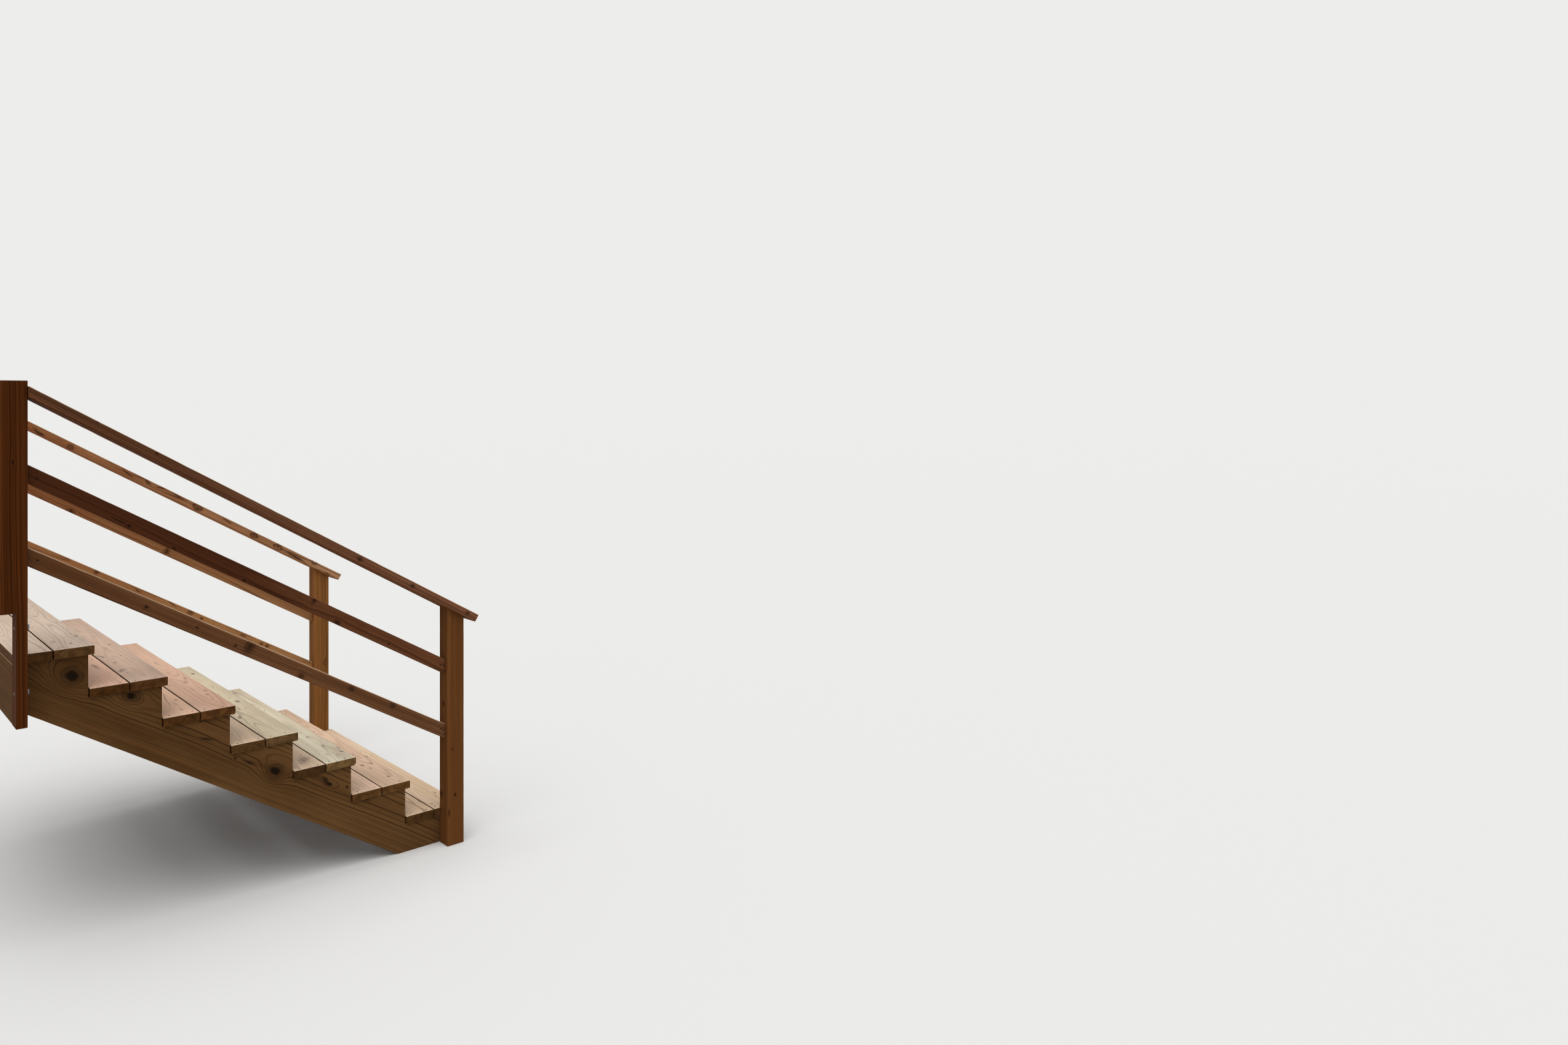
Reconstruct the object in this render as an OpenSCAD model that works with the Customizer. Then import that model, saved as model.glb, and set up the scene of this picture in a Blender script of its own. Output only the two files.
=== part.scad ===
// Straight flight of open-riser deck stairs in dimension lumber, with a railing on each side.
// X runs down the flight, Y across it (the right side of someone walking down is -Y), Z up.
// The origin is the centre of the hanger board's back face, which bears on the upper deck's rim.

/* [Flight] */
// Number of treads, with one riser more
tread_count = 7; // [3:1:10]
// Height of each riser
riser_height = 177; // [150:1:200]
// Horizontal distance from one nosing to the next
going = 269; // [250:1:280]
// Length of the treads across the flight
tread_length = 1708; // [900:1:2100]

/* [Treads] */
// Width of one tread board
tread_board_width = 140; // [135:1:150]
// Width of the top tread's back board, which is ripped to fit against the rim
ripped_board_width = 128; // [90:1:135]
// Thickness of the tread boards
tread_thickness = 38; // [25:1:50]
// Gap between the two boards of a tread
tread_gap = 5; // [3:0.5:10]
// Gap between a tread's back edge and the riser cut behind it
riser_clearance = 4; // [2:0.5:10]
// Overhang of the treads past the outer faces of the outer stringers
end_overhang = 12; // [0:1:30]
// Gap between the top tread's ripped back board and the rim
rim_clearance = 3; // [2:0.5:8]
// Clearance round a post where a tread is notched round it
notch_clearance = 1; // [0.5:0.5:3]
// Radius of the eased edges of the treads
tread_edge_radius = 4; // [2:0.5:8]

/* [Stringers] */
// Thickness of the stringers
stringer_thickness = 38; // [30:1:60]
// Depth of the stringer board before the steps are cut
stringer_depth = 286; // [260:1:320]
// Number of stringers between the two outer ones
inner_stringer_count = 2; // [1:1:3]
// Radius of the eased edges of the stringer and hanger boards
stringer_edge_radius = 3; // [2:0.5:6]
// Thickness of the hanger board behind the stringers
hanger_thickness = 38; // [20:1:50]
// Depth of the hanger board
hanger_depth = 235; // [210:1:286]

/* [Posts] */
// Side of the square posts
post_size = 89; // [80:1:140]
// Thickness of the tongue left below the notch of a top post
tongue_thickness = 38; // [30:1:60]
// Height of a top post above the floor of the upper deck
top_post_height = 904; // [860:1:1000]
// Radius of the posts' eased edges
post_edge_radius = 5; // [2:0.5:8]

/* [Railing] */
// Slope of the rails, a little flatter than the line of the nosings
rail_angle = 31.2; // [28:0.1:34]
// Height of the cap rail's top above the top tread, plumb over its nosing
cap_height = 915; // [850:1:950]
// Height of the upper middle rail's top above the top tread, plumb over its nosing
upper_rail_height = 610; // [520:1:640]
// Height of the lower middle rail's top above the top tread, plumb over its nosing
lower_rail_height = 285; // [200:1:340]
// Width of the cap rail, which lies flat on the posts
cap_width = 140; // [120:1:190]
// Thickness of the cap rail
cap_thickness = 38; // [30:1:50]
// Length of cap rail past the downhill face of the bottom post, along its slope
cap_overhang = 80; // [40:1:150]
// Depth of the middle rails
mid_rail_depth = 64; // [50:1:89]
// Thickness of the middle rails
mid_rail_thickness = 38; // [30:1:50]
// Radius of the rails' eased edges
rail_edge_radius = 3; // [2:0.5:6]

/* [Bolts] */
// Diameter of the bolts through the tongues of the top posts
bolt_diameter = 12; // [8:1:16]
// Amount by which a bolt's hole is wider than the bolt
bolt_hole_clearance = 1; // [0.5:0.5:3]
// Width of a bolt's hexagonal head across its flats
bolt_head_width = 19; // [13:1:24]
// Height of a bolt head
bolt_head_height = 8; // [5:0.5:10]
// Chamfer round the top corners of a bolt head
bolt_head_chamfer = 1.5; // [1:0.25:2]
// Diameter of the washers
washer_diameter = 35; // [28:1:44]
// Thickness of the washers
washer_thickness = 2.5; // [2:0.5:4]
// Depth of the upper bolt below the floor of the upper deck
upper_bolt_drop = 63; // [45:1:110]
// Depth of the lower bolt below the floor of the upper deck
lower_bolt_drop = 320; // [230:1:360]

/* [Hidden] */
$fn = 48;

// Levels, measured from the centre of the hanger board, whose top edge carries the top tread
top_tread_level = hanger_depth / 2 + tread_thickness;
deck_level = top_tread_level + riser_height;
ground_level = top_tread_level - tread_count * riser_height;
hanger_bottom = -hanger_depth / 2;

// Slopes
stair_angle = atan(riser_height / going);
rail_slope = tan(rail_angle);

// Plan
tread_depth = 2 * tread_board_width + tread_gap;
nosing_overhang = tread_depth + riser_clearance - going;
top_reach = rim_clearance + ripped_board_width + tread_gap + tread_board_width;
outer_face = tread_length / 2 - end_overhang;
stringer_span = 2 * outer_face - stringer_thickness;
post_centre = outer_face + post_size / 2;
top_post_centre = tongue_thickness - post_size / 2;
last_riser_cut = nosing_x(tread_count) - nosing_overhang;
bottom_post_centre = last_riser_cut - post_size / 2;
longest_cut = 2 * (tread_count * (riser_height + going) + deck_level + top_post_height);

// Colours of the weathered lumber and of the galvanized bolts
tread_colour = [0.76, 0.62, 0.46];
stringer_colour = [0.33, 0.21, 0.12];
post_colour = [0.50, 0.29, 0.14];
rail_colour = [0.42, 0.25, 0.15];
bolt_colour = [0.45, 0.47, 0.50];

// Nosing, top face and underside of a tread, counted from the top
function nosing_x(step) = top_reach + (step - 1) * going;
function tread_level(step) = top_tread_level - (step - 1) * riser_height;
function seat_level(step) = tread_level(step) - tread_thickness;

// Height at x of a rail's top that lies the given height over the top tread's nosing
function rail_level(height, x) = top_tread_level + height - rail_slope * (x - nosing_x(1));

// Rectangle with one corner at the origin and its corners eased
module eased_rectangle(width, height, radius) {
    translate([radius, 0]) square([width - 2 * radius, height]);
    translate([0, radius]) square([width, height - 2 * radius]);
    for (x = [radius, width - radius]) {
        for (y = [radius, height - radius]) {
            translate([x, y]) circle(r = radius);
        }
    }
}

// Board from one x to another across the flight, its top face at the given level
module tread_board(from_x, to_x, level) {
    translate([from_x, tread_length / 2, level - tread_thickness])
        rotate([90, 0, 0])
            linear_extrude(tread_length)
                eased_rectangle(to_x - from_x, tread_thickness, tread_edge_radius);
}

// Notches at both ends of a tread board where it fits round a pair of posts
module post_notches(centre_x, level) {
    notch = post_size + 2 * notch_clearance;
    for (side = [0, 1]) {
        mirror([0, side, 0])
            translate([centre_x - notch / 2, outer_face - notch_clearance, level - 2 * tread_thickness])
                cube([notch, 2 * post_size, 3 * tread_thickness]);
    }
}

module tread(step, board) {
    front = nosing_x(step);
    middle = front - tread_board_width;
    back = step == 1 ? rim_clearance : front - tread_depth;
    color(tread_colour)
        difference() {
            if (board == "back") {
                tread_board(back, middle - tread_gap, tread_level(step));
            } else {
                tread_board(middle, front, tread_level(step));
            }
            if (step == 1) {
                post_notches(top_post_centre, tread_level(step));
            }
            if (step == tread_count) {
                post_notches(bottom_post_centre, tread_level(step));
            }
        }
}

// Corners of the tread and riser cuts, from the top tread's back to the bottom tread's riser cut
function step_corners() =
    [for (step = [1:tread_count])
        for (x = [max(hanger_thickness, nosing_x(step) - going - nosing_overhang),
                  nosing_x(step) - nosing_overhang])
            [x, seat_level(step)]];

// Board with eased edges that runs down the flight, its upper edge through the tips of the steps
module stringer_board() {
    translate([nosing_x(1) - nosing_overhang, -stringer_thickness / 2, seat_level(1)])
        rotate([0, stair_angle, 0])
            translate([-longest_cut / 2, 0, -stringer_depth])
                rotate([90, 0, 90])
                    linear_extrude(longest_cut)
                        eased_rectangle(stringer_thickness, stringer_depth, stringer_edge_radius);
}

// Stringer: the board less its step cuts, its plumb cut at the hanger board and its level foot
module stringer(centre_y) {
    color(stringer_colour)
        translate([0, centre_y, 0])
            intersection() {
                stringer_board();
                translate([0, stringer_thickness, 0])
                    rotate([90, 0, 0])
                        linear_extrude(2 * stringer_thickness)
                            polygon(concat(
                                step_corners(),
                                [[last_riser_cut, ground_level], [hanger_thickness, ground_level]]));
            }
}

module hanger_board() {
    color(stringer_colour)
        translate([0, outer_face, hanger_bottom])
            rotate([90, 0, 0])
                linear_extrude(2 * outer_face)
                    eased_rectangle(hanger_thickness, hanger_depth, stringer_edge_radius);
}

// Plain square post between two levels, with eased edges
module post(centre_x, centre_y, bottom, top) {
    translate([centre_x - post_size / 2, centre_y - post_size / 2, bottom])
        linear_extrude(top - bottom)
            eased_rectangle(post_size, post_size, post_edge_radius);
}

// Top post, notched over the rim of the upper deck and bored for its bolts
module top_post(side) {
    color(post_colour)
        difference() {
            post(top_post_centre, side * post_centre, hanger_bottom, deck_level + top_post_height);
            translate([-post_size, side * post_centre - post_size, hanger_bottom - 1])
                cube([post_size, 2 * post_size, deck_level - hanger_bottom + 1]);
            for (drop = [upper_bolt_drop, lower_bolt_drop]) {
                translate([-1, side * post_centre, deck_level - drop])
                    rotate([0, 90, 0])
                        cylinder(d = bolt_diameter + bolt_hole_clearance, h = tongue_thickness + 2);
            }
        }
}

// Solid below a sloping plane, as deep as the flight needs
module below_slope(height) {
    translate([0, 0, rail_level(height, 0)])
        rotate([0, rail_angle, 0])
            translate([-longest_cut / 2, -longest_cut / 2, -longest_cut])
                cube(longest_cut);
}

// Bottom post, with its top sawn to the slope of the cap rail that it carries
module bottom_post(side) {
    color(post_colour)
        intersection() {
            post(bottom_post_centre, side * post_centre, ground_level,
                 rail_level(cap_height, bottom_post_centre - post_size / 2));
            below_slope(cap_height - cap_thickness / cos(rail_angle));
        }
}

// Long sloping board whose top face passes the given height over the top nosing
module sloping_board(centre_y, height, width, thickness) {
    translate([nosing_x(1), centre_y + width / 2, top_tread_level + height])
        rotate([0, rail_angle, 0])
            translate([-longest_cut / 2, 0, 0])
                rotate([90, 0, 90])
                    mirror([1, 0, 0])
                        translate([0, -thickness, 0])
                            linear_extrude(longest_cut)
                                eased_rectangle(width, thickness, rail_edge_radius);
}

// Cap rail: a plumb cut against the top post and a square cut past the bottom post
module cap_rail(side) {
    color(rail_colour)
        intersection() {
            sloping_board(side * post_centre, cap_height, cap_width, cap_thickness);
            translate([tongue_thickness, side * post_centre - cap_width, ground_level])
                cube([longest_cut, 2 * cap_width, longest_cut]);
            translate([bottom_post_centre + post_size / 2, 0, rail_level(cap_height, bottom_post_centre + post_size / 2)])
                rotate([0, rail_angle, 0])
                    translate([cap_overhang - longest_cut, -longest_cut / 2, -longest_cut / 2])
                        cube(longest_cut);
        }
}

// Middle rail between the facing sides of the posts, plumb cut at both ends
module mid_rail(side, height) {
    color(rail_colour)
        intersection() {
            sloping_board(side * post_centre, height, mid_rail_thickness, mid_rail_depth);
            translate([tongue_thickness, side * post_centre - mid_rail_thickness, ground_level])
                cube([bottom_post_centre - post_size / 2 - tongue_thickness, 2 * mid_rail_thickness, longest_cut]);
        }
}

// Hexagonal head whose top corners are chamfered all round
module bolt_head() {
    corner = bolt_head_width / 2 / cos(30);
    intersection() {
        cylinder(r = corner, h = bolt_head_height, $fn = 6);
        rotate_extrude()
            polygon([[0, 0], [corner, 0], [corner, bolt_head_height - bolt_head_chamfer],
                     [corner - 2 * bolt_head_chamfer, bolt_head_height], [0, bolt_head_height]]);
    }
}

// Two bolts with washers through the tongue of a top post, up to the rim's face
module post_bolts(side) {
    color(bolt_colour)
        for (drop = [upper_bolt_drop, lower_bolt_drop]) {
            translate([0, side * post_centre, deck_level - drop])
                rotate([0, 90, 0]) {
                    cylinder(d = bolt_diameter, h = tongue_thickness + washer_thickness);
                    translate([0, 0, tongue_thickness])
                        cylinder(d = washer_diameter, h = washer_thickness);
                    translate([0, 0, tongue_thickness + washer_thickness])
                        bolt_head();
                }
        }
}

// Y of each stringer's centre, counted from the right one, which is place 0
function stringer_y(place) = stringer_span * (place / (inner_stringer_count + 1) - 0.5);

hanger_board();
stringer(stringer_y(0));  // right_stringer
stringer(stringer_y(inner_stringer_count + 1));  // left_stringer
for (place = [1:inner_stringer_count]) {
    stringer(stringer_y(place));
}
for (step = [1:tread_count]) {
    tread(step, "back");
    tread(step, "front");
}
top_post(-1);  // right_top_post
top_post(1);  // left_top_post
bottom_post(-1);  // right_bottom_post
bottom_post(1);  // left_bottom_post
cap_rail(-1);  // right_cap_rail
cap_rail(1);  // left_cap_rail
mid_rail(-1, upper_rail_height);  // right_upper_rail
mid_rail(1, upper_rail_height);  // left_upper_rail
mid_rail(-1, lower_rail_height);  // right_lower_rail
mid_rail(1, lower_rail_height);  // left_lower_rail
post_bolts(-1);  // right_post_bolts
post_bolts(1);  // left_post_bolts
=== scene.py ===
"""Looks of the wooden deck stairs: weathered boards, posts and rails, with their screws and bolts."""
import math
import random

import bmesh
import bpy
from mathutils import Matrix, Vector, noise


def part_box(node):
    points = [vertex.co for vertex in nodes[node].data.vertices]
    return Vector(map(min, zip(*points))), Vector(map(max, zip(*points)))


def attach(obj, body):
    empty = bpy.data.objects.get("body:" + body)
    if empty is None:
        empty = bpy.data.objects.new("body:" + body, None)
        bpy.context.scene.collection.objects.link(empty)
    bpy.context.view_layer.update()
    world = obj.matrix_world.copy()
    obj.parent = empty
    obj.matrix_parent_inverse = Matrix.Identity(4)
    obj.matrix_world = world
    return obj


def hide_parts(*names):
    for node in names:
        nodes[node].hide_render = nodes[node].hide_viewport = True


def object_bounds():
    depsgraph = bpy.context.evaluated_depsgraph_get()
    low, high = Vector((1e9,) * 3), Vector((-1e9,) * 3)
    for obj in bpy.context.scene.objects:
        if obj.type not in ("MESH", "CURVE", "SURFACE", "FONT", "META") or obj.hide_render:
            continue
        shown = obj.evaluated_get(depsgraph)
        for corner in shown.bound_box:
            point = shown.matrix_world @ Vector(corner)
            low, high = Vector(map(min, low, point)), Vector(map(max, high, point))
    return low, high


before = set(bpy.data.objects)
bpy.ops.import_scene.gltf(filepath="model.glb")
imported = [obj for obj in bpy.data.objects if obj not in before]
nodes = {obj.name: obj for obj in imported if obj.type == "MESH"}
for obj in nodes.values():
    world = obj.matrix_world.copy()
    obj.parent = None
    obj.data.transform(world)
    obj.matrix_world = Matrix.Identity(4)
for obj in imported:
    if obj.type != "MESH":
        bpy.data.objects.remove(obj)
cad_low, cad_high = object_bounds()

# Slope of the flight, from the noses of its two top treads, and slope of its railings
upper_nose, lower_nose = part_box("tread_1_front")[1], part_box("tread_2_front")[1]
STAIR_ANGLE = math.atan2(upper_nose.z - lower_nose.z, lower_nose.x - upper_nose.x)
RAIL_ANGLE = math.radians(31.2)

# Directions: down the flight, across it and up, and along and square to its slopes
DOWN, LEFT, UP = Vector((1, 0, 0)), Vector((0, 1, 0)), Vector((0, 0, 1))
DOWN_STAIR = Vector((math.cos(STAIR_ANGLE), 0, -math.sin(STAIR_ANGLE)))
OVER_STAIR = Vector((math.sin(STAIR_ANGLE), 0, math.cos(STAIR_ANGLE)))
DOWN_RAIL = Vector((math.cos(RAIL_ANGLE), 0, -math.sin(RAIL_ANGLE)))
OVER_RAIL = Vector((math.sin(RAIL_ANGLE), 0, math.cos(RAIL_ANGLE)))

# Spacing of a board's vertices along its grain and across it
ALONG, ACROSS = 0.02, 0.011
# Width of the small chamfer on sawn corners
ARRIS = 0.0007

# Deck screws: their heads, and the holes that they sink into
SCREW_HEAD = 0.0038
SCREW_HOLE = 0.0042
SCREW_SINK = 0.0016
HOLE_DEPTH = 0.0042
SCREW_SIDES = 16
# Screws' distances from the gap between a tread's boards, from its front edge and from its back edge
GAP_INSET, FRONT_INSET, BACK_INSET = 0.024, 0.047, 0.03
# How far they stray along and across the board
STRAY_ALONG, STRAY_ACROSS = 0.008, 0.005
# Screws through a cap rail, sideways from the middle of its post
CAP_SCREWS = (-0.024, 0.026)
# Screws' distances from the upper end of a middle rail and from its foot
HEAD_INSET, FOOT_INSETS = 0.058, (0.048, 0.032)
# Screws of the hanger board, along and across it
HANGER_SCREWS = [(x, y) for x in (-0.74, -0.5, -0.12, 0.12, 0.5, 0.74) for y in (-0.07, 0.07)]

# Nail holes: depth and sides
NAIL_DEPTH, NAIL_SIDES = 0.006, 10
# How far a cutter stands out of the face that it cuts
PROUD = 0.001
# Width of the worn band along a board's edges
WORN_BAND = 0.005

# Distances under which two vertices count as one, and an edge as none
SAME_PLACE, NO_EDGE = 2e-5, 1e-5
# Angles of faces that count as one, that meet in a sawn corner, and that are shaded with an edge between them
FLAT, SAWN_CORNER, SHARP_EDGE = math.radians(0.5), math.radians(50), math.radians(28)

# Gap between the flight's feet and the floor, and the floor's half width
FLOOR_GAP, FLOOR_SIZE = 0.0005, 400

# Attribute that holds each vertex's place in its board's own axes, which the wood is coloured by
BOARD_PLACE = "board_place"


def tone(red, green, blue):
    """Colour as the shaders take it, from the values that a screen shows."""
    shares = [value / 255 for value in (red, green, blue)]
    return tuple(v / 12.92 if v <= 10 / 255 else ((v + 0.055) / 1.055) ** 2.4 for v in shares) + (1,)


class Graph:
    """Node tree written as calls, one for each node."""

    def __init__(self, tree):
        self.tree = tree

    def feed(self, value, socket):
        if isinstance(value, bpy.types.NodeSocket):
            self.tree.links.new(value, socket)
        else:
            socket.default_value = value

    def node(self, kind, inputs=None, **settings):
        made = self.tree.nodes.new(kind)
        for name, value in settings.items():
            setattr(made, name, value)
        self.fill(made.inputs, inputs or {})
        return made

    def fill(self, sockets, inputs):
        for name, value in inputs.items():
            self.feed(value, sockets[name])

    def ordered(self, kind, values, **settings):
        """New node whose sockets are fed in their order, as its outputs."""
        made = self.node(kind, **settings)
        for socket, value in zip(made.inputs, values):
            self.feed(value, socket)
        return made.outputs

    def math(self, operation, *values):
        return self.ordered("ShaderNodeMath", values, operation=operation)[0]

    def line(self, value, slope, start):
        return self.math("MULTIPLY_ADD", value, slope, start)

    def product(self, *values):
        total = values[0]
        for value in values[1:]:
            total = self.math("MULTIPLY", total, value)
        return total

    def vector(self, operation, *values, output="Vector"):
        return self.ordered("ShaderNodeVectorMath", values, operation=operation)[output]

    def scaled(self, vector, factor):
        made = self.node("ShaderNodeVectorMath", {"Vector": vector, "Scale": factor}, operation="SCALE")
        return made.outputs["Vector"]

    def parts(self, vector):
        return self.ordered("ShaderNodeSeparateXYZ", (vector,))

    def grey(self, shade):
        return self.node("ShaderNodeCombineColor", {"Red": shade, "Green": shade, "Blue": shade}).outputs[0]

    def step(self, value, low, high, start=0.0, end=1.0):
        """Smooth step from start to end, as value goes from low to high."""
        values = (value, low, high, start, end)
        return self.ordered("ShaderNodeMapRange", values, interpolation_type="SMOOTHSTEP")["Result"]

    def noise(self, place, stretch, detail=2.0, roughness=0.5, output="Fac"):
        inputs = {"Vector": self.vector("MULTIPLY", place, stretch), "Scale": 1.0, "Detail": detail,
                  "Roughness": roughness}
        return self.node("ShaderNodeTexNoise", inputs).outputs[output]

    def wobble(self, place, stretch, detail):
        """Noise in three directions, with its middle at zero."""
        return self.vector("SUBTRACT", self.noise(place, stretch, detail, output="Color"), (0.5, 0.5, 0.5))

    def yearly(self, years, scale, detail):
        """Noise along a count of years."""
        inputs = {"W": years, "Scale": scale, "Detail": detail}
        return self.node("ShaderNodeTexNoise", inputs, noise_dimensions="1D").outputs["Fac"]

    def cells(self, place, scale=1.0, **settings):
        """Cells of a lattice, as the distance from their middles and three chances that each one has."""
        found = self.node("ShaderNodeTexVoronoi", {"Vector": place, "Scale": scale}, **settings).outputs
        return found["Distance"], self.node("ShaderNodeSeparateColor", {"Color": found["Color"]}).outputs

    def most(self, *values):
        total = values[0]
        for value in values[1:]:
            total = self.math("MAXIMUM", total, value)
        return total

    def mix(self, share, first, second, blend="MIX"):
        made = self.node("ShaderNodeMix", data_type="RGBA", blend_type=blend, clamp_factor=True)
        for socket, value in zip((made.inputs[0], made.inputs[6], made.inputs[7]), (share, first, second)):
            self.feed(value, socket)
        return made.outputs[2]

    def use(self, tree, inputs):
        """Group node with its sockets fed, as its outputs."""
        return self.node("ShaderNodeGroup", inputs, node_tree=tree).outputs


def group(name, vectors, values, outputs, vector_outputs=()):
    """Empty node group with its sockets, and the graph to fill it with."""
    tree = bpy.data.node_groups.new(name, "ShaderNodeTree")
    for sockets, way, kind in ((vectors, "INPUT", "Vector"), (values, "INPUT", "Float"),
                               (outputs, "OUTPUT", "Float"), (vector_outputs, "OUTPUT", "Vector")):
        for socket in sockets:
            tree.interface.new_socket(socket, in_out=way, socket_type="NodeSocket" + kind)
    graph = Graph(tree)
    entry = graph.node("NodeGroupInput").outputs
    leave = graph.node("NodeGroupOutput").inputs
    return tree, graph, entry, leave


def lumber_group():
    """Growth rings round a pith that runs along the board, with its fibres, streaks and small knots."""
    tree, graph, entry, leave = group(
        "lumber", ("Place", "Shift", "Pith", "Drift", "Part"),
        ("Ring Width", "Wander", "Bend", "Line", "Knots"),
        ("Late", "Years", "Fibre", "Streak", "Fleck", "Knot", "Blotch"))
    moved = graph.vector("ADD", entry["Place"], entry["Shift"])

    # Small knots, one in some of the cells of a coarse lattice
    distance, chance = graph.cells(graph.vector("MULTIPLY", moved, (4.6, 8.0, 8.0)))
    present = graph.math("LESS_THAN", chance[0], entry["Knots"])
    radius = graph.line(chance[1], 0.045, 0.025)
    ragged = graph.line(graph.noise(moved, (60, 90, 90)), 0.03, distance)
    ragged = graph.math("SUBTRACT", ragged, 0.015)
    knot = graph.product(graph.step(ragged, radius, graph.product(radius, 1.35), 1.0, 0.0), present)
    spread = graph.math("DIVIDE", ragged, graph.product(radius, 3.0))
    swell = graph.math("EXPONENT", graph.product(spread, spread, -1.0))
    swell = graph.product(swell, graph.step(ragged, 0.15, 0.32, 1.0, 0.0), present, radius, 0.16)

    # Distance from the pith, which sways along the board
    sway = graph.wobble(moved, (1.3, 4.0, 4.0), 1.5)
    lean = graph.scaled(entry["Drift"], graph.parts(entry["Place"])["X"])
    off = graph.vector("SUBTRACT", graph.vector("ADD", entry["Place"], entry["Part"]), entry["Pith"])
    off = graph.vector("ADD", graph.vector("ADD", off, graph.scaled(sway, entry["Wander"])), lean)
    reach = graph.vector("LENGTH", graph.vector("MULTIPLY", off, (0.0, 1.0, 1.0)), output="Value")
    ripple = graph.math("SUBTRACT", graph.noise(moved, (6, 26, 26), 2.0), 0.5)
    reach = graph.line(ripple, 0.0016, reach)
    reach = graph.math("ADD", reach, graph.math("SUBTRACT", entry["Bend"], swell))

    # Rings of uneven width, each with its own strength, darkest shortly before the next begins
    rings = graph.math("DIVIDE", reach, entry["Ring Width"])
    rings = graph.line(graph.yearly(rings, 0.35, 1.0), 2.4, rings)
    phase = graph.math("FRACT", rings)
    strength = graph.node("ShaderNodeTexWhiteNoise", {"W": graph.math("FLOOR", rings)}, noise_dimensions="1D")
    late = graph.product(graph.step(phase, entry["Line"], 0.84), graph.step(phase, 0.86, 1.0, 1.0, 0.0))
    late = graph.product(late, graph.line(strength.outputs["Value"], 0.7, 0.3))

    graph.fill(leave, {
        "Late": late, "Knot": knot, "Years": graph.yearly(rings, 0.16, 2.0),
        "Fibre": graph.noise(moved, (6, 420, 420), 3.0, 0.6),
        "Streak": graph.noise(moved, (0.8, 55, 55), 3.0, 0.55),
        "Fleck": graph.step(graph.noise(moved, (24, 260, 260), 1.0), 0.66, 0.74),
        "Blotch": graph.noise(moved, (2.2, 9, 9), 3.0, 0.55)})
    return tree


def knot_group():
    """One knot, a branch that runs through the board, and the rings that part and swell round it.

    Keep blanks the direction in which the branch runs, and flattens its outline. Heart is how dark its
    middle is: a pale one shows by its rim.
    """
    tree, graph, entry, leave = group(
        "knot", ("Place", "Centre", "Keep"), ("Radius", "Heart", "Swerve"),
        ("Bend", "Dark", "Inside", "Halo"), ("Part",))
    away = graph.vector("SUBTRACT", entry["Place"], entry["Centre"])
    off = graph.scaled(away, graph.math("DIVIDE", 1.0, entry["Radius"]))
    own = graph.vector("ADD", off, graph.scaled(entry["Centre"], 61.0))
    wobble = graph.wobble(own, (0.7, 0.7, 0.7), 2.0)
    off = graph.vector("ADD", off, graph.scaled(wobble, 0.8))
    share = graph.vector("LENGTH", graph.vector("MULTIPLY", off, entry["Keep"]), output="Value")
    part = graph.math("EXPONENT", graph.product(share, share, -0.16))
    aside = graph.vector("MULTIPLY", graph.vector("MULTIPLY", away, entry["Keep"]), (0.0, -0.8, -0.8))
    swerve = graph.math("EXPONENT", graph.product(share, share, -0.3))
    swerve = graph.product(entry["Radius"], entry["Swerve"], swerve)
    heart = graph.product(graph.step(share, 0.42, 1.02, 1.0, 0.0), entry["Heart"])
    rim = graph.step(share, graph.line(entry["Heart"], 0.4, 0.3), 1.0)
    outline = graph.line(entry["Heart"], -0.6, 1.0)
    rim = graph.product(rim, graph.step(share, 0.9, 1.4, 1.0, 0.0), outline)
    inside = graph.step(share, 0.85, 1.3, 1.0, 0.0)
    dark = graph.most(heart, rim, graph.product(inside, 0.2))
    graph.fill(leave, {"Part": graph.scaled(aside, part), "Bend": graph.product(swerve, -1.0), "Dark": dark,
                       "Inside": inside, "Halo": graph.step(share, 0.8, 2.6, 1.0, 0.0)})
    return tree


def spot_group():
    """One soft patch, ragged and oval, Size long and wide, turned in the board's face."""
    tree, graph, entry, leave = group("spot", ("Place", "Centre", "Size"), ("Turn",), ("Mask",))
    off = graph.vector("SUBTRACT", entry["Place"], entry["Centre"])
    off = graph.node("ShaderNodeVectorRotate", {"Vector": off, "Angle": entry["Turn"]},
                     rotation_type="Z_AXIS").outputs[0]
    wobble = graph.wobble(entry["Place"], (30, 75, 75), 3.0)
    off = graph.vector("DIVIDE", graph.vector("MULTIPLY", off, (1.0, 1.0, 0.0)), entry["Size"])
    off = graph.vector("ADD", off, graph.scaled(wobble, 0.9))
    distance = graph.vector("LENGTH", graph.vector("MULTIPLY", off, (1.0, 1.0, 0.0)), output="Value")
    graph.feed(graph.step(distance, 0.12, 0.68, 1.0, 0.0), leave["Mask"])
    return tree


LUMBER, KNOT, SPOT = lumber_group(), knot_group(), spot_group()

# Directions in a board's own axes that a knot's outline is measured in, by the way that its branch runs
BRANCH = {"z": (0.75, 1.0, 0.0), "y": (0.75, 0.0, 1.0), "upright": (1.0, 0.62, 0.0)}


def near_edge(graph, place, size):
    """Share that fades from the board's narrow face on its right side into the wood."""
    return graph.step(graph.parts(place)["Y"], 0.008 - size.y / 2, 0.035 - size.y / 2, 1.0, 0.0)


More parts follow.
